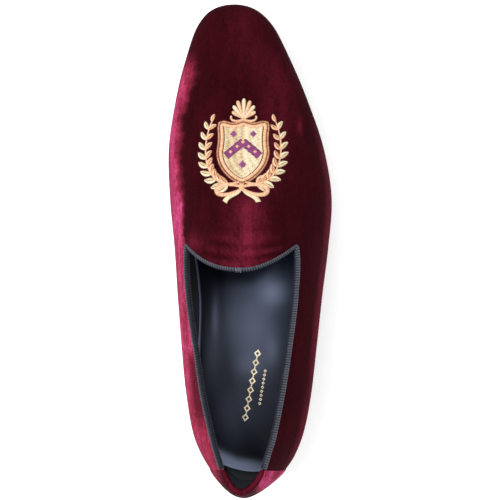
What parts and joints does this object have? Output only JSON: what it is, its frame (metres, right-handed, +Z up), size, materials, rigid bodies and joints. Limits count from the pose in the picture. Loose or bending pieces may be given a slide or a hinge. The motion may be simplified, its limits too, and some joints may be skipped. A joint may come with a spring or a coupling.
{
  "type": "velvet slipper shoe",
  "caption": "Low slip-on evening shoe with a one-piece velvet upper, ribbed edge binding, velvet back strap, thin leather sole and stacked heel.",
  "frame": {"origin": "on the floor, under the middle of the shoe's box", "axes": "+Y to the toe, +X to the outer side of the foot, +Z up"},
  "size_m": [0.0995, 0.2971, 0.0813],
  "materials": {
    "velvet": "burgundy cotton velvet, dense short nap",
    "grosgrain": "ribbed grosgrain ribbon, black with a navy cast",
    "sock_leather": "smooth slate-black lining leather, soft sheen",
    "sole_leather": "black dyed and waxed sole leather, soft gloss",
    "heel_rubber": "matte black-grey rubber, faint blue cast",
    "copper": "copper-coloured nail head, lightly dulled"
  },
  "bodies": {
    "root": {"upper": "velvet", "topline_binding": "grosgrain", "back_strap": "velvet", "insole": "sock_leather", "outsole": "sole_leather", "heel_stack": "sole_leather", "top_lift_leather": "sole_leather", "top_lift_rubber": "heel_rubber", "heel_nail_1": "copper", "heel_nail_2": "copper", "heel_nail_3": "copper", "heel_nail_4": "copper", "heel_nail_5": "copper"}
  },
  "joints": []
}
